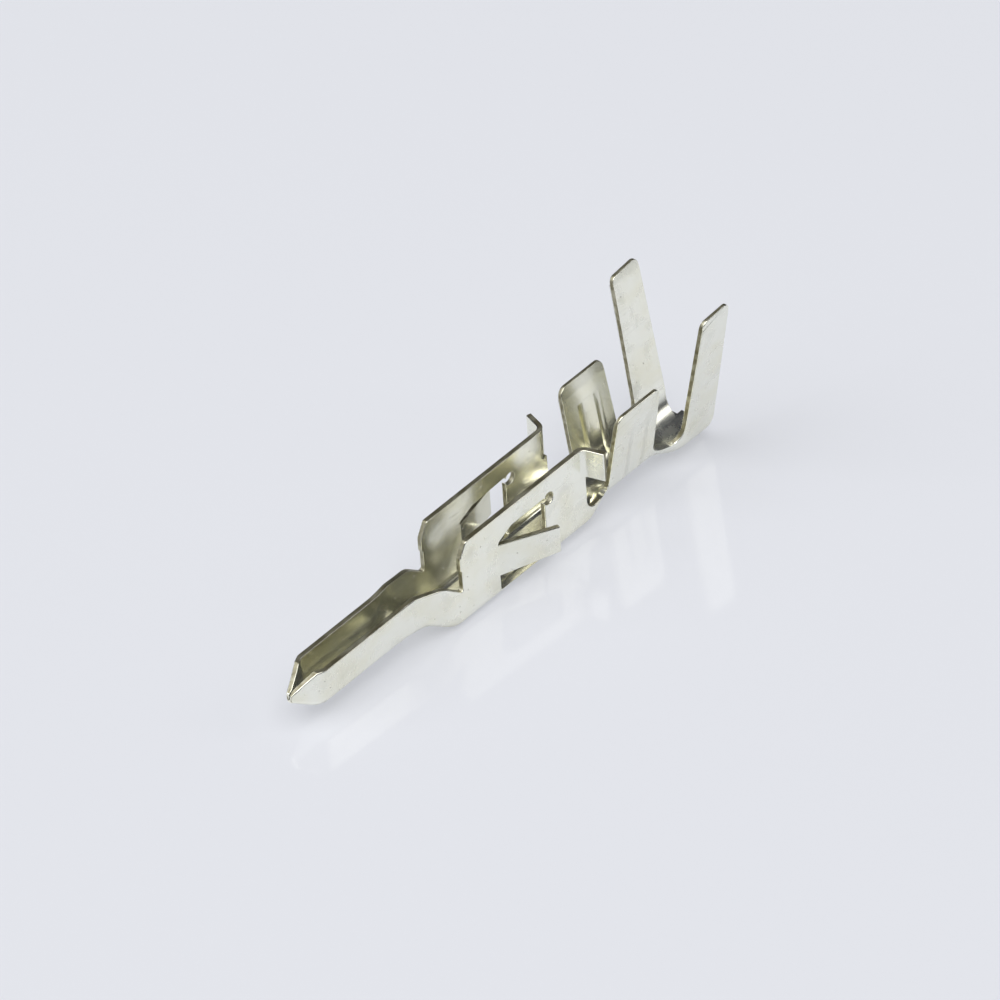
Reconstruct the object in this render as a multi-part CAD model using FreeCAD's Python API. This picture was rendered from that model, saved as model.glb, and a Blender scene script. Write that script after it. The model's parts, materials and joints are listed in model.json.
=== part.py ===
import FreeCAD, Part
import math
import os
from collections import namedtuple

# Crimp contact: one strip of thin sheet, stamped and folded.
# While it is drawn, x runs from the tip of the pin to the wire end, and
# z is measured from the underside of the box floor. Both walls are alike.

V = FreeCAD.Vector

# Sheet
sheet = 0.20
tip_sheet = 0.12

# Lengths, one after the other from the tip of the pin
nose_length = 1.17
pin_length = 3.60
ramp_length = 2.65
box_length = 6.38
neck_length = 1.31
conductor_length = 2.14
waist_length = 1.54
insulation_length = 1.32
tab_length = 0.24

# Pin, an open channel with a blunt closed nose
pin_half = 0.57
pin_bend = 0.36
pin_lean = 3.5
pin_floor = 0.77
pin_top = 2.32
nose_half = 0.14
nose_bend = 0.20
nose_floor = 1.42
nose_top = 1.75
nose_closed = 0.16
nose_corner = 0.89
nose_corner_round = 0.04
nose_heel = 0.88
nose_heel_rise = 0.04
nose_sole = 0.66
nose_sole_rise = 0.17

# Ramp from the pin down to the box
ramp_drop = 1.65
hump_start = 0.10
hump_sweep = 1.50
hump_rise = 0.06
hump_back = 1.95
shoulder_drop = 0.22
shoulder_back = 0.75
shoulder_round = 0.90
ramp_edge_low = 1.40
notch_back = 0.12
notch_top = 2.28
notch_round = 0.08

# Box, a channel with tall walls
box_half = 0.95
box_bend = 0.38
box_top = 3.40
cheek_set_in = 0.06
cheek_low = 2.84
cheek_step = 0.04
cheek_slope = 0.32
cheek_round = 0.20
cheek_top_round = 0.12
wall_round = 0.05

# Windows in the box walls
window_start = 1.95
window_length = 2.34
window_low = 0.25
window_high = 2.60
window_rise = 0.10
window_round = 0.10
window_corner_run = 0.65
window_corner_drop = 0.30
keyhole_radius = 0.24
keyhole_back = 0.21
keyhole_down = 0.22

# Locking tangs, hinged at the front of the windows
tang_length = 2.36
tang_flare = 17.5
tang_root_low = 0.87
tang_root_high = 2.20
tang_tip_low = 0.75
tang_tip_high = 1.81
tang_overlap = 0.20

# Ears, bent out at the rear of the box walls
ear_low = 2.24
ear_reach = 0.74
ear_angle = 73.0
ear_round = 0.24
ear_setback = 0.30

# Necks beside the conductor barrel
neck_rim = 0.66
waist_rim = 0.62
neck_round = 0.42
waist_front_round = 0.48
waist_round = 0.64

# Conductor barrel
conductor_bore = 0.65
conductor_lean = 10.0
conductor_floor = 0.18
conductor_top = 3.89
conductor_splay = 0.08
conductor_front_round = 0.34
conductor_round = 0.26

# Insulation barrel
insulation_bore = 0.96
insulation_lean = 10.0
insulation_floor = -0.32
insulation_top = 6.06
insulation_slope = 0.12
insulation_splay = 0.22
insulation_round = 0.24
heel_height = 0.75
heel_setback = 0.16
heel_round = 0.60
tab_half = 0.50
tab_height = 0.06

# Coined bevels at the wing tips
conductor_bevel = 0.45
insulation_bevel = 0.45
inner_bevel_depth = 0.035
outer_bevel_depth = 0.03

# Serrations across the inside of the conductor barrel, steep in front and shallow behind
groove_places = (0.30, 0.68)
groove_front = 0.05
groove_back = 0.22
groove_depth = 0.05
groove_stop = 0.95

# Room that cutting shapes are given beyond the part
spare = 0.5

# Hair of flat floor that is left between two bends
hair = 0.01

# Outer radii of the two barrels
conductor_bend = conductor_bore + sheet
insulation_bend = insulation_bore + sheet

# Stations along the contact
nose_root = nose_length
ramp_start = nose_root + pin_length
box_start = ramp_start + ramp_length
box_end = box_start + box_length
conductor_start = box_end + neck_length
conductor_end = conductor_start + conductor_length
insulation_start = conductor_end + waist_length
insulation_end = insulation_start + insulation_length
contact_end = insulation_end + tab_length
blank_top = insulation_top + spare
widest = insulation_bend + blank_top

Channel = namedtuple("Channel", "half bend lean floor")
PIN = Channel(pin_half, pin_bend, pin_lean, pin_floor)
BOX = Channel(box_half, box_bend, 0.0, 0.0)
CONDUCTOR = Channel(conductor_bend + hair, conductor_bend, conductor_lean, conductor_floor)
INSULATION = Channel(insulation_bend + hair, insulation_bend, insulation_lean, insulation_floor)


def ease(s):
    """Smooth step from 0 to 1."""
    s = min(max(s, 0.0), 1.0)
    return s * s * (3 - 2 * s)


def mix(a, b, s):
    return a + (b - a) * s


def channel_side(channel, depth, top, floor_gain):
    """Half of a channel's outline at a depth in the sheet: top, tangent, middle and foot of the bend."""
    lean = math.radians(channel.lean)
    middle = math.radians((90 + channel.lean) / 2)
    radius = channel.bend - depth
    flat = channel.half - channel.bend
    low = channel.floor + depth * floor_gain
    centre = low + radius
    tangent = (flat + radius * math.cos(lean), centre - radius * math.sin(lean))
    bend = (flat + radius * math.cos(middle), centre - radius * math.sin(middle))
    rise = top - tangent[1]
    return (tangent[0] + rise * math.tan(lean), top), tangent, bend, (flat, low)


def channel_wire(x, channel, top=blank_top, outer=0.0, inner=sheet, floor_gain=1.0):
    """Closed cross-section of the sheet in the plane of one station."""
    out_top, out_tan, out_mid, out_foot = channel_side(channel, outer, top, floor_gain)
    in_top, in_tan, in_mid, in_foot = channel_side(channel, inner, top, floor_gain)

    def near(p):
        return V(x, -p[0], p[1])

    def far(p):
        return V(x, p[0], p[1])

    return Part.Wire([
        Part.LineSegment(near(out_top), near(out_tan)).toShape(),
        Part.Arc(near(out_tan), near(out_mid), near(out_foot)).toShape(),
        Part.LineSegment(near(out_foot), far(out_foot)).toShape(),
        Part.Arc(far(out_foot), far(out_mid), far(out_tan)).toShape(),
        Part.LineSegment(far(out_tan), far(out_top)).toShape(),
        Part.LineSegment(far(out_top), far(in_top)).toShape(),
        Part.LineSegment(far(in_top), far(in_tan)).toShape(),
        Part.Arc(far(in_tan), far(in_mid), far(in_foot)).toShape(),
        Part.LineSegment(far(in_foot), near(in_foot)).toShape(),
        Part.Arc(near(in_foot), near(in_mid), near(in_tan)).toShape(),
        Part.LineSegment(near(in_tan), near(in_top)).toShape(),
        Part.LineSegment(near(in_top), near(out_top)).toShape(),
    ])


def prism(x0, x1, channel):
    """Straight stretch of one channel."""
    return Part.makeLoft([channel_wire(x0, channel), channel_wire(x1, channel)], True, True)


def transition(x0, x1, first, last, floor_x0, steps=10):
    """Smooth stretch in which one channel turns into another; its floor moves from floor_x0 on."""
    wires = []
    for i in range(steps + 1):
        x = mix(x0, x1, i / steps)
        s = ease((x - x0) / (x1 - x0))
        f = min(max((x - floor_x0) / (x1 - floor_x0), 0.0), 1.0)
        slope = (last.floor - first.floor) * 6 * f * (1 - f) / (x1 - floor_x0)
        channel = Channel(mix(first.half, last.half, s), mix(first.bend, last.bend, s),
                          mix(first.lean, last.lean, s), mix(first.floor, last.floor, ease(f)))
        wires.append(channel_wire(x, channel, floor_gain=math.hypot(1.0, slope)))
    return Part.makeLoft(wires, True, False)


def nose():
    """Walls that close in on the tip until they meet, and a floor that rises to it."""
    sole_floor = pin_floor + nose_sole_rise
    stations = (
        (nose_root, pin_floor, sheet),
        (nose_heel, pin_floor + nose_heel_rise, sheet),
        (nose_sole, sole_floor, sheet),
        (nose_closed, mix(nose_floor, sole_floor, nose_closed / nose_sole), sheet),
        (0.0, nose_floor, tip_sheet),
    )
    wires = []
    for x, floor, inner in stations:
        s = x / nose_root
        half = mix(nose_half, pin_half, s)
        bend = min(mix(nose_bend, pin_bend, s), half - hair)
        inner = min(inner, bend - hair / 2)
        wires.append(channel_wire(x, Channel(half, bend, pin_lean * s, floor), inner=inner))
    return Part.makeLoft(wires, True, True)


def rounded_wire(corners, plane):
    """Closed outline whose corners (u, v, radius) are rounded; plane turns a flat point into a placed one."""
    edges = []
    ends = []
    count = len(corners)
    for i, (u, v, radius) in enumerate(corners):
        here = V(u, v, 0)
        back = V(*corners[i - 1][:2], 0) - here
        ahead = V(*corners[(i + 1) % count][:2], 0) - here
        if radius == 0:
            ends.append((here, None, here))
            continue
        half_angle = back.getAngle(ahead) / 2
        back.normalize()
        ahead.normalize()
        reach = radius / math.tan(half_angle)
        bisector = back + ahead
        bisector.normalize()
        nearest = here + bisector * (radius / math.sin(half_angle) - radius)
        ends.append((here + back * reach, nearest, here + ahead * reach))
    for i, (start, middle, stop) in enumerate(ends):
        if middle is not None:
            edges.append(Part.Arc(plane(start), plane(middle), plane(stop)).toShape())
        following = ends[(i + 1) % count][0]
        if (following - stop).Length > 1e-6:
            edges.append(Part.LineSegment(plane(stop), plane(following)).toShape())
    return Part.Wire(edges)


def side_plate(corners):
    """Solid with the given side outline (x, z, radius), wide enough to reach through both walls."""
    face = Part.Face(rounded_wire(corners, lambda p: V(p.x, -widest, p.y)))
    return face.extrude(V(0, 2 * widest, 0))


def plan_plate(corners, low, high):
    """Solid with the given plan outline (x, y, radius) between two heights."""
    face = Part.Face(rounded_wire(corners, lambda p: V(p.x, p.y, low)))
    return face.extrude(V(0, 0, high - low))


def both_sides(shape):
    return shape, shape.mirror(V(0, 0, 0), V(0, 1, 0))


def side_outline():
    """Everything below the upper edges of the pin, box, necks and wings."""
    low = insulation_floor - spare
    tab_top = insulation_floor + sheet + tab_height
    nose_slope = (pin_top - nose_top) / nose_corner
    notch_x = box_start + notch_back
    cheek_x = box_start + cheek_set_in
    ear_x = box_end - ear_setback
    shoulder_x = box_start - shoulder_back
    return [
        (-spare, low, 0),
        (-spare, nose_top - spare * nose_slope, 0),
        (nose_corner, pin_top, nose_corner_round),
        (ramp_start - hump_start, pin_top, hump_sweep),
        (box_start - hump_back, pin_top + hump_rise, shoulder_round),
        (shoulder_x, pin_top - shoulder_drop, shoulder_round),
        (notch_x, ramp_edge_low, notch_round),
        (notch_x, notch_top, notch_round / 2),
        (cheek_x, notch_top + cheek_step, notch_round / 2),
        (cheek_x, cheek_low, cheek_round),
        (cheek_x + cheek_slope, box_top, cheek_top_round),
        (ear_x, box_top, 0),
        (ear_x, ear_low, 0),
        (box_end, ear_low, wall_round),
        (box_end, neck_rim, neck_round),
        (conductor_start - conductor_splay, neck_rim, neck_round),
        (conductor_start, conductor_top, conductor_front_round),
        (conductor_end, conductor_top, conductor_round),
        (conductor_end + conductor_splay, waist_rim, waist_front_round),
        (insulation_start - insulation_splay, waist_rim, waist_round),
        (insulation_start, insulation_top - insulation_slope, insulation_round),
        (insulation_end, insulation_top, insulation_round),
        (insulation_end, heel_height, heel_round),
        (insulation_end - heel_setback, tab_top, wall_round),
        (contact_end + spare, tab_top, 0),
        (contact_end + spare, low, 0),
    ]


def window_cutter():
    """Opening in both box walls with a round relief at its upper rear corner."""
    x0 = box_start + window_start
    x1 = x0 + window_length
    high = window_high + window_rise
    opening = side_plate([
        (x0, window_low, window_round), (x0, window_high - window_corner_drop, window_round),
        (x0 + window_corner_run, window_high, window_round),
        (x1, high, 0), (x1, window_low, window_round),
    ])
    centre = V(x1 + keyhole_back, -widest, high - keyhole_down)
    relief = Part.makeCylinder(keyhole_radius, 2 * widest, centre, V(0, 1, 0))
    return opening.fuse(relief)


def tangs():
    """Leaf on each side that leaves the wall at the front of the window and flares outwards."""
    flare = math.radians(tang_flare)
    along = V(math.cos(flare), -math.sin(flare), 0)
    inward = V(math.sin(flare), math.cos(flare), 0)
    root = V(box_start + window_start, -box_half, 0)
    inner_root = root + V(sheet * math.tan(flare / 2), sheet, 0)
    tip = root + along * tang_length
    inner_tip = tip + inward * sheet
    back = V(tang_overlap, 0, 0)
    outline = [root - back, root, tip, inner_tip, inner_root, root - back + V(0, sheet, 0)]
    leaf = plan_plate([(p.x, p.y, 0) for p in outline], 0, box_top)
    taper = side_plate([
        (root.x - 2 * tang_overlap, tang_root_low, 0), (root.x, tang_root_low, 0),
        (tip.x + spare, mix(tang_root_low, tang_tip_low, (tip.x + spare - root.x) / (tip.x - root.x)), 0),
        (tip.x + spare, mix(tang_root_high, tang_tip_high, (tip.x + spare - root.x) / (tip.x - root.x)), 0),
        (root.x, tang_root_high, 0), (root.x - 2 * tang_overlap, tang_root_high, 0),
    ])
    return both_sides(leaf.common(taper))


def ears():
    """Flange on each side, bent out at the upper rear corner of the wall."""
    turn = math.radians(ear_angle)
    x = box_end - ear_setback
    centre = V(x, -box_half - ear_round, 0)
    ahead = V(math.cos(turn), -math.sin(turn), 0)

    def on_bend(radius, angle):
        return centre + V(radius * math.sin(angle), radius * math.cos(angle), 0)

    leg = (box_half + ear_reach + on_bend(ear_round, turn).y) / math.sin(turn)
    thick = ear_round + sheet
    outer = [on_bend(ear_round, a) for a in (0, turn / 2, turn)]
    inner = [on_bend(thick, a) for a in (turn, turn / 2, 0)]
    tip = outer[2] + ahead * leg
    inner_tip = inner[0] + ahead * leg
    start = outer[0] - V(tang_overlap, 0, 0)
    inner_start = inner[2] - V(tang_overlap, 0, 0)
    edges = [
        Part.LineSegment(start, outer[0]).toShape(),
        Part.Arc(*outer).toShape(),
        Part.LineSegment(outer[2], tip).toShape(),
        Part.LineSegment(tip, inner_tip).toShape(),
        Part.LineSegment(inner_tip, inner[0]).toShape(),
        Part.Arc(*inner).toShape(),
        Part.LineSegment(inner[2], inner_start).toShape(),
        Part.LineSegment(inner_start, start).toShape(),
    ]
    plate = Part.Face(Part.Wire(edges)).extrude(V(0, 0, box_top - ear_low))
    plate.translate(V(0, 0, ear_low))
    return both_sides(plate)


def tip_bevels(x0, x1, channel, top, length):
    """Wedges that thin the tips of a barrel's wings from both faces."""
    lean = math.radians(channel.lean)
    up = V(0, math.sin(lean), math.cos(lean))
    inward = V(0, -math.cos(lean), math.sin(lean))
    corner = channel_side(channel, 0.0, top, 1.0)[0]
    tip = V(x0 - spare, corner[0], corner[1])
    wedges = []
    for face, depth, out in ((sheet, inner_bevel_depth, 1), (0.0, outer_bevel_depth, -1)):
        clear = inward * (out * spare)
        start = tip + inward * face - up * length
        stop = start + (up * length - inward * (out * depth)) * (1 + spare / length)
        points = [start, stop, stop + clear, start + clear, start]
        wedge = Part.Face(Part.makePolygon(points)).extrude(V(x1 - x0 + 2 * spare, 0, 0))
        wedges.extend(both_sides(wedge))
    return wedges


def groove(x):
    """Ring that cuts one serration into the inside of the conductor barrel, deepest at x."""
    top = conductor_top - groove_stop
    steps = ((x - groove_front, sheet), (x, sheet - groove_depth), (x + groove_back, sheet))
    wires = [channel_wire(at, CONDUCTOR, top, outer, sheet + groove_depth) for at, outer in steps]
    return Part.makeLoft(wires, True, True)


def tab_trims():
    """What is cut away beside the stub that held the contact to its strip."""
    low = insulation_floor - spare
    block = Part.makeBox(tab_length + spare, widest, blank_top - low, V(insulation_end, tab_half, low))
    return both_sides(block)


def contact():
    """The whole folded strip, still in its drawing position."""
    stretches = [
        nose(),
        prism(nose_root, ramp_start, PIN),
        transition(ramp_start, box_start, PIN, BOX, box_start - ramp_drop),
        prism(box_start, box_end, BOX),
        transition(box_end, conductor_start, BOX, CONDUCTOR, box_end),
        prism(conductor_start, conductor_end, CONDUCTOR),
        transition(conductor_end, insulation_start, CONDUCTOR, INSULATION, conductor_end),
        prism(insulation_start, contact_end, INSULATION),
    ]
    outline = side_plate(side_outline())
    pieces = [stretch.common(outline) for stretch in stretches]
    body = pieces[0].multiFuse(pieces[1:])
    body = body.cut(window_cutter())
    body = body.multiFuse([*tangs(), *ears()])
    cutters = [groove(mix(conductor_start, conductor_end, s)) for s in groove_places]
    cutters += tip_bevels(conductor_start, conductor_end, CONDUCTOR, conductor_top, conductor_bevel)
    cutters += tip_bevels(insulation_start, contact_end, INSULATION, insulation_top, insulation_bevel)
    cutters += tab_trims()
    for cutter in cutters:
        body = body.cut(cutter)
    return body.removeSplitter()


def lay_down(shape):
    """Rest on the front of the box floor and the insulation barrel, above the middle of the box."""
    tilt = math.degrees(math.atan2(-insulation_floor, insulation_start - box_start))
    shape.rotate(V(box_start, 0, 0), V(0, 1, 0), -tilt)
    bounds = shape.optimalBoundingBox(False)
    shape.translate(V(-(bounds.XMin + bounds.XMax) / 2, 0, -bounds.ZMin))
    return shape


os.makedirs("parts", exist_ok=True)
result = lay_down(contact())
size = result.optimalBoundingBox(False)
print("solids", len(result.Solids), "valid", result.isValid(), "volume", round(result.Volume, 4))
print("size", round(size.XLength, 3), round(size.YLength, 3), round(size.ZLength, 3))
result.Solids[0].exportStep("parts/contact.step")
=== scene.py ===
import json
import math
from itertools import combinations

import bmesh
import bpy
from bpy.props import FloatProperty, FloatVectorProperty, PointerProperty
from mathutils import Euler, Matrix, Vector
from mathutils.bvhtree import BVHTree

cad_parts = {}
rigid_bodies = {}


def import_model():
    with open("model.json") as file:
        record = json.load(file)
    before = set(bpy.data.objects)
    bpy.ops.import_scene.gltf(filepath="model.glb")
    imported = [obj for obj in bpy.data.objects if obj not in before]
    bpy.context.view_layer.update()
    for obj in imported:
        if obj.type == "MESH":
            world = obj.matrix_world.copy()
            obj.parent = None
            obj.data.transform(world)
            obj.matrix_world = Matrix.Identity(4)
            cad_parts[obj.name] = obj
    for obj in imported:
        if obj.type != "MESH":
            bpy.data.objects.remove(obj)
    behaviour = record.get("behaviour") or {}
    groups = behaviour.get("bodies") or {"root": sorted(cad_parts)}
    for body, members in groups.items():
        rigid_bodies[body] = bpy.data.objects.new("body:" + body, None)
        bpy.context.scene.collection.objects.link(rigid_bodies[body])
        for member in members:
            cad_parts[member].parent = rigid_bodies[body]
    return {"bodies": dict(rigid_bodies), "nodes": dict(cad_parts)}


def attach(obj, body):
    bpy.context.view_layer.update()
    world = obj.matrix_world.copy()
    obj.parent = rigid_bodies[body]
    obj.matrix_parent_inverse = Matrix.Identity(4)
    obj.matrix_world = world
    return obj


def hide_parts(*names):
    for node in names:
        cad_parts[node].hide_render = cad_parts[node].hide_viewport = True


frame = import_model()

bl_info = {
    "name": "Crimp contact",
    "version": (1, 0, 0),
    "blender": (4, 5, 0),
    "location": "3D View > Sidebar > Contact",
    "description": "Dresses a folded sheet-metal crimp contact and lights it on a glossy plate",
    "category": "Object",
}

MM = 0.001
NODE = "contact"
SHEET = 0.20 * MM

# Corners closer than this are one corner, and edges shorter than this are noise
WELD = 1e-8
TINY = 2e-7

# Faces that meet within this angle are one flat
FLAT_ANGLE = math.radians(0.2)

# A cut edge has more metal behind it than this many thicknesses of the sheet
CUT_DEPTH = 1.45

# Corners sharper than this are rounded, unless their edges meet at an acute angle
CORNER_ANGLE = math.radians(35)
ACUTE = math.radians(60)

# Faces larger than this are flats; smaller ones blend with neighbours within the smooth angle
LARGE_FLAT = 0.5 * MM * MM
SMOOTH_ANGLE = math.radians(50)

# Stretch of the conductor barrel whose serrations are plated all over
SERRATED_X = (5.3 * MM, 6.8 * MM)
SERRATED_TOP = 3.2 * MM

# For the shader, in millimetres: the serrations, where their marks fade out above,
# and where the painted warm tint of light bounced inside the folds ends before the insulation barrel
SERRATIONS = (5.70, 6.52)
MARKS_FADE = (2.6, 3.3)
BOUNCE_TINT_FADE = (7.2, 8.2)

# Plate: its gloss, and the share of what the eye sees that comes from its glow
PLATE_IOR = 1.6
GLOW_SHARE = 0.5

# Lamps: place, size, colour
SOFT_BOX = ((-0.26, -0.19, 0.96), (1.10, 0.95), (1.0, 0.995, 0.985))
SIDE_PANEL = ((-0.70, 0.48, 0.60), (0.80, 0.70), (0.97, 0.98, 1.0))
WINDOW = ((0.54, -0.57, 0.47), (0.36, 0.36), (1.0, 0.99, 0.97))

# Camera, worked out from the contact's corners in the photograph
CAMERA_PLACE = (-0.1708806, -0.1562906, 0.1921298)
CAMERA_TURN = (50.7533, 2.0093, -49.2515)
CAMERA_LENS = 326.887
CAMERA_SENSOR = 36
CAMERA_CLIP = (0.01, 10)


def clear_start_scene():
    """Removes whatever Blender's start file holds beside the frame."""
    kept = {*frame["nodes"].values(), *frame["bodies"].values()}
    for thing in [o for o in bpy.data.objects if o not in kept]:
        bpy.data.objects.remove(thing)
    bpy.context.view_layer.update()


clear_start_scene()
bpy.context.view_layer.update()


# Shader building

class Value:
    """A number that a shader works out for each point; Python's operators add Math nodes."""

    def __init__(self, finish, socket):
        self.finish = finish
        self.socket = socket

    def math(self, operation, *others, clamp=False):
        settings = {"operation": operation, "use_clamp": clamp}
        return self.finish.node("ShaderNodeMath", settings, dict(enumerate([self, *others])))["Value"]

    def __add__(self, other):
        return self.math("ADD", other)

    def __radd__(self, other):
        return self.math("ADD", other)

    def __sub__(self, other):
        return self.math("SUBTRACT", other)

    def __rsub__(self, other):
        return self.finish.number(other).math("SUBTRACT", self)

    def __mul__(self, other):
        return self.math("MULTIPLY", other)

    def __rmul__(self, other):
        return self.math("MULTIPLY", other)

    def rise(self, low, high):
        """0 below low, 1 above high, smooth between."""
        settings = {"interpolation_type": "SMOOTHSTEP"}
        sockets = {"Value": self, "From Min": low, "From Max": high}
        return self.finish.node("ShaderNodeMapRange", settings, sockets)["Result"]


class Outputs:
    """A node's outputs by name, each wrapped for shader maths."""

    def __init__(self, finish, node):
        self.finish = finish
        self.node = node

    def __getitem__(self, name):
        socket = next(s for s in self.node.outputs if s.name == name and s.enabled)
        return Value(self.finish, socket)


class Finish:
    """A procedural material and the ways to add nodes to it."""

    def __init__(self, name):
        self.material = bpy.data.materials.new(name)
        self.material.use_nodes = True
        self.tree = self.material.node_tree
        self.tree.nodes.clear()

    def node(self, kind, settings=None, sockets=None):
        """Adds a node, applies its settings first, then sets or links its sockets."""
        node = self.tree.nodes.new(kind)
        for key, setting in (settings or {}).items():
            setattr(node, key, setting)
        for key, content in (sockets or {}).items():
            self.plug(self.find(node, key), content)
        return Outputs(self, node)

    @staticmethod
    def find(node, key):
        if isinstance(key, int):
            return node.inputs[key]
        return next(s for s in node.inputs if s.name == key and s.enabled)

    def plug(self, socket, content):
        if isinstance(content, Value):
            self.tree.links.new(content.socket, socket)
        elif content is not None:
            socket.default_value = content

    def number(self, content):
        """A plain number as the first term of an expression."""
        return self.node("ShaderNodeMath", {"operation": "ADD"}, {0: content, 1: 0.0})["Value"]

    def places(self, *scale):
        """The point's place in millimetres, stretched along each axis."""
        spot = self.node("ShaderNodeTexCoord")["Object"]
        return self.node("ShaderNodeVectorMath", {"operation": "MULTIPLY"},
                         {0: spot, 1: [s / MM for s in scale]})["Vector"]

    def noise(self, places, detail=2.0, roughness=0.5):
        return self.node("ShaderNodeTexNoise", {}, {
            "Vector": places, "Scale": 1.0, "Detail": detail, "Roughness": roughness})["Fac"]

    def blend(self, share, first, second):
        """Colour between two colours."""
        return self.node("ShaderNodeMix", {"data_type": "RGBA"},
                         {"Factor": share, "A": first, "B": second})["Result"]

    def bump(self, height, distance):
        """Normal of a surface whose height of 1 stands the distance proud."""
        return self.node("ShaderNodeBump", {}, {
            "Strength": 1.0, "Distance": distance, "Height": height})["Normal"]

    def surface(self, sockets):
        shader = self.node("ShaderNodeBsdfPrincipled", {}, sockets)["BSDF"]
        self.node("ShaderNodeOutputMaterial", {}, {"Surface": shader})
        return self.material


def opaque(colour):
    return (*colour, 1.0)


# Sizes and colours that a user would change

class ContactFinish(bpy.types.PropertyGroup):
    """Finish of the folded sheet."""

    tin: FloatVectorProperty(
        name="Tin", description="Colour of the plating where it is cleanest",
        subtype="COLOR", size=3, min=0.0, max=1.0, default=(0.925, 0.93, 0.85))
    # Warm tin is also painted on the inner faces of the folds as the warm tint of light bounced between
    # them
    warm_tin: FloatVectorProperty(
        name="Warm tin", description="Colour of the plating where the alloy shines through",
        subtype="COLOR", size=3, min=0.0, max=1.0, default=(0.87, 0.855, 0.70))
    cut_edge: FloatVectorProperty(
        name="Cut edge", description="Colour of the bare alloy on sheared edges",
        subtype="COLOR", size=3, min=0.0, max=1.0, default=(0.23, 0.21, 0.13))
    # The pit colour also paints the shade along the serration marks
    pit: FloatVectorProperty(
        name="Pit", description="Colour inside the small pits of the plating",
        subtype="COLOR", size=3, min=0.0, max=1.0, default=(0.42, 0.41, 0.36))
    rolled_edge: FloatProperty(
        name="Rolled edge", description="Rounding of the edges on the outside of the folds",
        subtype="DISTANCE", unit="LENGTH", min=0.0, default=0.040 * MM)
    burr_edge: FloatProperty(
        name="Burred edge", description="Rounding of the edges on the inside of the folds",
        subtype="DISTANCE", unit="LENGTH", min=0.0, default=0.015 * MM)


class ContactStage(bpy.types.PropertyGroup):
    """Plate, lamps and surroundings."""

    plate: FloatVectorProperty(
        name="Plate", description="Colour of the glossy plate",
        subtype="COLOR", size=3, min=0.0, max=1.0, default=(0.76, 0.775, 0.82))
    glow: FloatVectorProperty(
        name="Glow", description="Colour of the light that the plate lets through to the eye",
        subtype="COLOR", size=3, min=0.0, max=1.0, default=(0.755, 0.770, 0.818))
    room: FloatVectorProperty(
        name="Room", description="Colour of the dim room round the plate",
        subtype="COLOR", size=3, min=0.0, max=1.0, default=(0.040, 0.042, 0.050))
    plate_half: FloatProperty(
        name="Plate half width", description="Half of the plate's side",
        subtype="DISTANCE", unit="LENGTH", min=0.1, default=1.5)
    box_light: FloatProperty(
        name="Soft box", description="Power of the soft box overhead",
        subtype="POWER", unit="POWER", min=0.0, default=11.0)
    side_light: FloatProperty(
        name="Side panel", description="Power of the panel at the rear left",
        subtype="POWER", unit="POWER", min=0.0, default=5.2)
    window_light: FloatProperty(
        name="Window", description="Power of the small window at the front right",
        subtype="POWER", unit="POWER", min=0.0, default=0.80)


# The folded sheet

def own_copy(source):
    """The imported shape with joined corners, its cut edges told apart and its flats cleaned."""
    shape = bmesh.new()
    shape.from_mesh(source.data)
    bmesh.ops.remove_doubles(shape, verts=shape.verts, dist=WELD)
    tree = BVHTree.FromBMesh(shape)
    for face in shape.faces:
        face.material_index = int(is_cut_edge(face, tree))
        face.smooth = True
    bmesh.ops.dissolve_limit(shape, angle_limit=FLAT_ANGLE, verts=shape.verts,
                             edges=shape.edges, delimit={"MATERIAL"})
    return shape


def is_cut_edge(face, tree):
    """True where the metal behind a triangle is deeper than the sheet is thick."""
    centre = face.calc_center_median()
    if SERRATED_X[0] < centre.x < SERRATED_X[1] and centre.z < SERRATED_TOP:
        return False
    just_below = centre - face.normal * (SHEET * 0.02)
    hit = tree.ray_cast(just_below, -face.normal, SHEET * 40)
    return hit[0] is None or (hit[0] - centre).length > SHEET * CUT_DEPTH


def is_outside(face):
    """True on the outside of the folded channel."""
    centre = face.calc_center_median()
    if abs(face.normal.y) > abs(face.normal.z):
        return face.normal.y * centre.y > 0
    return face.normal.z < 0


def without_acute(edges):
    """Leaves out edges that meet at an acute angle, where two roundings would collide."""
    meeting = {}
    for edge in edges:
        for corner in edge.verts:
            meeting.setdefault(corner, []).append(edge)
    dropped = set()
    for corner, group in meeting.items():
        rays = [(edge.other_vert(corner).co - corner.co).normalized() for edge in group]
        if any(a.dot(b) > math.cos(ACUTE) for a, b in combinations(rays, 2)):
            dropped.update(group)
    return [edge for edge in edges if edge not in dropped]


def round_edges(shape, outside, width):
    """Rounds the corners between sheet faces of one side and cut edges."""
    chosen = []
    for edge in shape.edges:
        if len(edge.link_faces) != 2:
            continue
        cut, kept = sorted(edge.link_faces, key=lambda f: -f.material_index)
        if cut.material_index == 1 and kept.material_index == 0 and is_outside(kept) == outside:
            if edge.calc_face_angle(0.0) > CORNER_ANGLE:
                chosen.append(edge)
    bmesh.ops.bevel(shape, geom=without_acute(chosen), offset=width, offset_type="OFFSET",
                    segments=2, profile=0.5, affect="EDGES", clamp_overlap=False, material=0)
    bmesh.ops.dissolve_degenerate(shape, dist=TINY, edges=shape.edges)


def settle_normals(mesh):
    """Shades large flats flat, and everything between them smoothly up to the smooth angle."""
    touching = [[] for _ in mesh.vertices]
    for face in mesh.polygons:
        for corner in face.vertices:
            touching[corner].append(face)
    limit = math.cos(SMOOTH_ANGLE)
    normals = []
    for face in mesh.polygons:
        for corner in face.vertices:
            normal = face.normal.copy()
            if face.area < LARGE_FLAT:
                normal = Vector()
                for other in touching[corner]:
                    if face.normal.dot(other.normal) > limit:
                        normal += other.normal * other.area
            normals.append(normal.normalized())
    mesh.normals_split_custom_set(normals)


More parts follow.
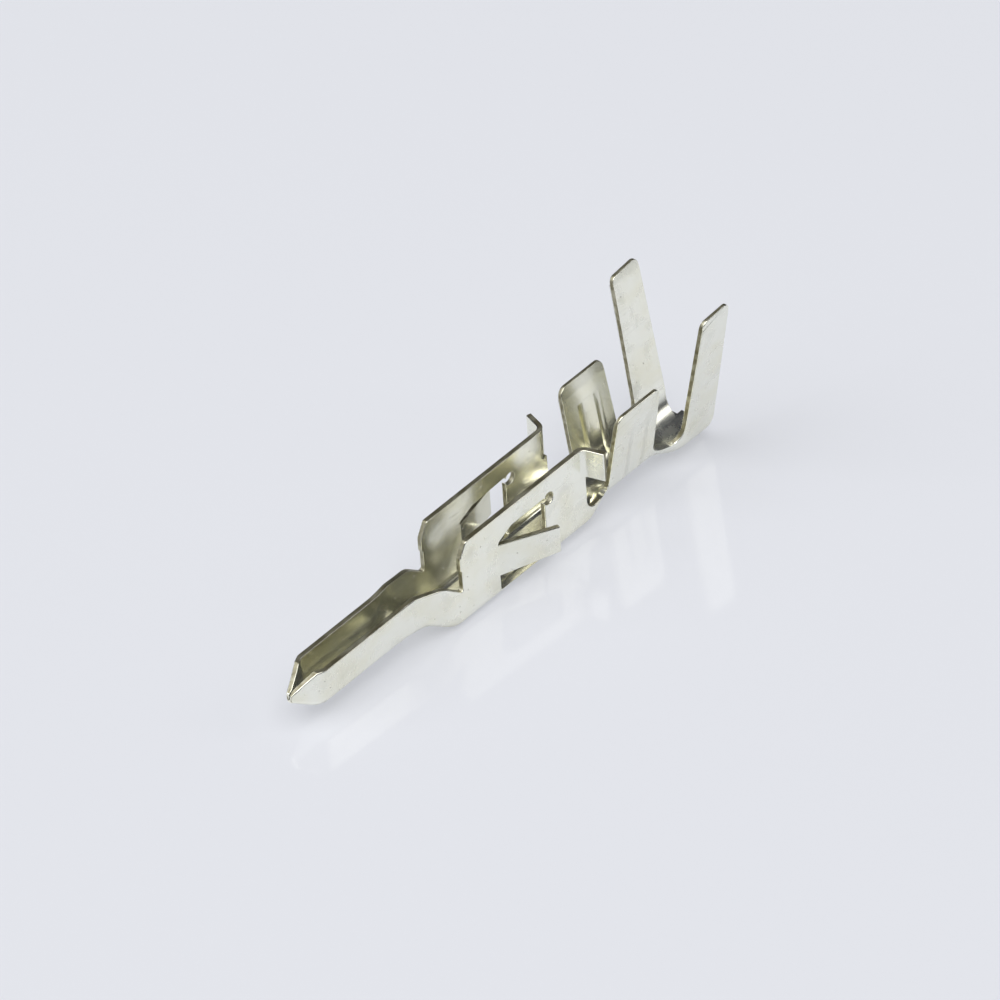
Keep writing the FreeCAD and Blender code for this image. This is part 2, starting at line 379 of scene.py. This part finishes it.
def inside_of_folds(finish, spot):
    """Mask for the painted warm tint of light bounced between the inner faces: 1 on the inner faces of
    the pin, box and conductor barrel, 0 elsewhere.
    """
    normal = finish.node("ShaderNodeTexCoord")["Normal"]
    facing = finish.node("ShaderNodeSeparateXYZ", {}, {"Vector": normal})
    side = (spot["Y"] * 4).math("MAXIMUM", -1.0).math("MINIMUM", 1.0)
    inward = (facing["Y"] * side * -1).math("MAXIMUM", facing["Z"])
    return inward.rise(0.3, 0.7) * (1 - spot["X"].rise(*BOUNCE_TINT_FADE))


def serration_marks(spot):
    """The marks that pressing the serrations leaves across the conductor barrel, used for their ridges
    and for painted shade along them.
    """
    marks = sum(1 - (spot["X"] - place).math("ABSOLUTE").rise(0.02, 0.16) for place in SERRATIONS)
    return marks * (1 - spot["Z"].rise(*MARKS_FADE))


def tin_finish(sizes):
    """Satin tin over a copper alloy, with drawing streaks across the strip and small pits, a painted
    warm tint of bounced light on the inner faces and painted shade along the serration marks.
    """
    finish = Finish("plated tin")
    streak = finish.noise(finish.places(22.0, 0.9, 0.9), detail=4.0, roughness=0.6)
    grain = finish.noise(finish.places(30.0, 30.0, 30.0), detail=2.0)
    cloud = finish.noise(finish.places(0.7, 0.9, 0.9), detail=3.0)
    wave = finish.noise(finish.places(2.4, 2.4, 2.4), detail=2.0)
    cells = finish.node("ShaderNodeTexVoronoi", {}, {
        "Vector": finish.places(4.5, 4.5, 4.5), "Scale": 1.0, "Randomness": 1.0})
    lot = finish.node("ShaderNodeSeparateColor", {}, {"Color": cells["Color"]})
    pit = (1 - cells["Distance"].rise(0.05, 0.16)) * (1 - lot["Red"].rise(0.18, 0.22))
    spot = finish.node("ShaderNodeSeparateXYZ", {}, {"Vector": finish.places(1.0, 1.0, 1.0)})
    inside = inside_of_folds(finish, spot)
    witness = serration_marks(spot)
    smudge = finish.noise(finish.places(1.3, 1.5, 1.5), detail=3.0, roughness=0.5).rise(0.48, 0.78)
    scratch = finish.noise(finish.places(1.1, 26.0, 26.0), detail=1.0).rise(0.68, 0.76)
    # Cloud and streaks are the plating's own tone; the inner-face term is a painted warm tint of light
    # bounced between the inner faces
    warm_tone_and_bounce_tint = cloud.rise(0.35, 0.75) * 0.7 + streak * 0.2 + inside * 0.35
    colour = finish.blend(warm_tone_and_bounce_tint, opaque(sizes.tin), opaque(sizes.warm_tin))
    # Smudges, scratches and pits are real wear; darkening along the serration marks is painted shade on
    # their low ridges
    wear_and_painted_shade = smudge * 0.14 + scratch * 0.16 + witness * 0.20 + pit * 0.8
    colour = finish.blend(wear_and_painted_shade, colour, opaque(sizes.pit))
    roughness = 0.19 + cloud * 0.05 + streak * 0.08 + smudge * 0.10
    roughness = roughness + pit * 0.25 + witness * 0.06 - inside * 0.07
    height = streak * 0.35 + grain * 0.35 + wave * 1.6 - scratch * 0.5 - pit * 1.5 + witness * 7.0
    return finish.surface({
        "Base Color": colour, "Metallic": 1.0, "Roughness": roughness,
        "Normal": finish.bump(height, 1.6e-6)})


def cut_finish(sizes):
    """Bare sheared alloy with fine tear marks across its thickness."""
    finish = Finish("bare cut edge")
    tear = finish.noise(finish.places(34.0, 3.0, 3.0), detail=4.0, roughness=0.65)
    patch = finish.noise(finish.places(1.6, 4.0, 4.0), detail=2.0)
    shade = finish.blend(patch.rise(0.3, 0.8) * 0.5, opaque(sizes.cut_edge), opaque(sizes.warm_tin))
    colour = finish.blend(tear.rise(0.45, 0.85) * 0.5, shade, opaque([c * 0.5 for c in sizes.cut_edge]))
    return finish.surface({
        "Base Color": colour, "Metallic": 1.0, "Roughness": 0.42 + tear * 0.2,
        "Normal": finish.bump(tear, 3e-6)})


class CONTACT_OT_sheet(bpy.types.Operator):
    """Builds the folded sheet with rounded edges and its two finishes"""

    bl_idname = "contact.sheet"
    bl_label = "Folded sheet"

    def execute(self, context):
        sizes = context.scene.contact_finish
        shape = own_copy(frame["nodes"][NODE])
        round_edges(shape, True, sizes.rolled_edge)
        round_edges(shape, False, sizes.burr_edge)
        mesh = bpy.data.meshes.new("contact_sheet")
        shape.to_mesh(mesh)
        shape.free()
        settle_normals(mesh)
        piece = bpy.data.objects.new("contact_sheet", mesh)
        context.scene.collection.objects.link(piece)
        mesh.materials.append(tin_finish(sizes))
        mesh.materials.append(cut_finish(sizes))
        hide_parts(NODE)
        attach(piece, "root")
        return {"FINISHED"}


# Plate, lamps, room and camera

def plate_finish(sizes):
    """Glossy white plate with a faint unevenness."""
    finish = Finish("glossy plate")
    cloud = finish.noise(finish.places(0.05, 0.05, 0.05), detail=2.0)
    colour = finish.blend(cloud * 0.10, opaque(sizes.plate), opaque([c * 0.97 for c in sizes.plate]))
    gloss = finish.node("ShaderNodeBsdfPrincipled", {}, {
        "Base Color": colour, "Roughness": 0.06 + cloud * 0.04, "IOR": PLATE_IOR})["BSDF"]
    glow = finish.node("ShaderNodeEmission", {}, {
        "Color": opaque(sizes.glow), "Strength": 1.0})["Emission"]
    path = finish.node("ShaderNodeLightPath")
    seen = path["Is Camera Ray"].math("MAXIMUM", path["Is Glossy Ray"])
    mixed = finish.node("ShaderNodeMixShader", {}, {0: seen * GLOW_SHARE, 1: gloss, 2: glow})["Shader"]
    finish.node("ShaderNodeOutputMaterial", {}, {"Surface": mixed})
    return finish.material


def add_light(name, power, place, size, colour):
    """Area lamp that faces the contact."""
    lamp = bpy.data.lights.new(name, "AREA")
    lamp.shape = "RECTANGLE"
    lamp.size, lamp.size_y = size
    lamp.energy = power
    lamp.color = colour
    holder = bpy.data.objects.new(name, lamp)
    holder.location = place
    holder.rotation_euler = (-Vector(place)).to_track_quat("-Z", "Y").to_euler()
    bpy.context.scene.collection.objects.link(holder)


def add_camera(scene):
    """Camera at the photograph's place."""
    camera = bpy.data.cameras.new("camera")
    camera.sensor_width = CAMERA_SENSOR
    camera.lens = CAMERA_LENS
    camera.clip_start, camera.clip_end = CAMERA_CLIP
    holder = bpy.data.objects.new("camera", camera)
    holder.location = CAMERA_PLACE
    holder.rotation_euler = Euler([math.radians(a) for a in CAMERA_TURN])
    scene.collection.objects.link(holder)
    scene.camera = holder


class CONTACT_OT_stage(bpy.types.Operator):
    """Adds the glossy plate, the lamps, the dim room and the camera"""

    bl_idname = "contact.stage"
    bl_label = "Stage"

    def execute(self, context):
        sizes = context.scene.contact_stage
        half = sizes.plate_half
        mesh = bpy.data.meshes.new("plate")
        mesh.from_pydata([(-half, -half, 0), (half, -half, 0), (half, half, 0), (-half, half, 0)],
                         [], [(0, 1, 2, 3)])
        mesh.materials.append(plate_finish(sizes))
        plate = bpy.data.objects.new("plate", mesh)
        context.scene.collection.objects.link(plate)
        add_light("soft_box", sizes.box_light, *SOFT_BOX)
        add_light("side_panel", sizes.side_light, *SIDE_PANEL)
        add_light("window", sizes.window_light, *WINDOW)
        world = bpy.data.worlds.new("room")
        context.scene.world = world
        world.use_nodes = True
        world.node_tree.nodes["Background"].inputs["Color"].default_value = opaque(sizes.room)
        add_camera(context.scene)
        context.scene.view_settings.view_transform = "Standard"
        return {"FINISHED"}


class CONTACT_PT_panel(bpy.types.Panel):
    """Lists the contact's pieces, finishes and stage"""

    bl_idname = "CONTACT_PT_panel"
    bl_label = "Crimp contact"
    bl_space_type = "VIEW_3D"
    bl_region_type = "UI"
    bl_category = "Contact"

    def draw(self, context):
        for settings in (context.scene.contact_finish, context.scene.contact_stage):
            box = self.layout.box()
            for name in settings.__annotations__:
                box.prop(settings, name)
        for operator in (CONTACT_OT_sheet, CONTACT_OT_stage):
            self.layout.operator(operator.bl_idname)


CLASSES = (ContactFinish, ContactStage, CONTACT_OT_sheet, CONTACT_OT_stage, CONTACT_PT_panel)


def register():
    for item in CLASSES:
        bpy.utils.register_class(item)
    bpy.types.Scene.contact_finish = PointerProperty(type=ContactFinish)
    bpy.types.Scene.contact_stage = PointerProperty(type=ContactStage)


def unregister():
    del bpy.types.Scene.contact_stage
    del bpy.types.Scene.contact_finish
    for item in reversed(CLASSES):
        bpy.utils.unregister_class(item)


def main():
    register()
    bpy.ops.contact.stage()
    bpy.ops.contact.sheet()


if __name__ == "__main__":
    main()
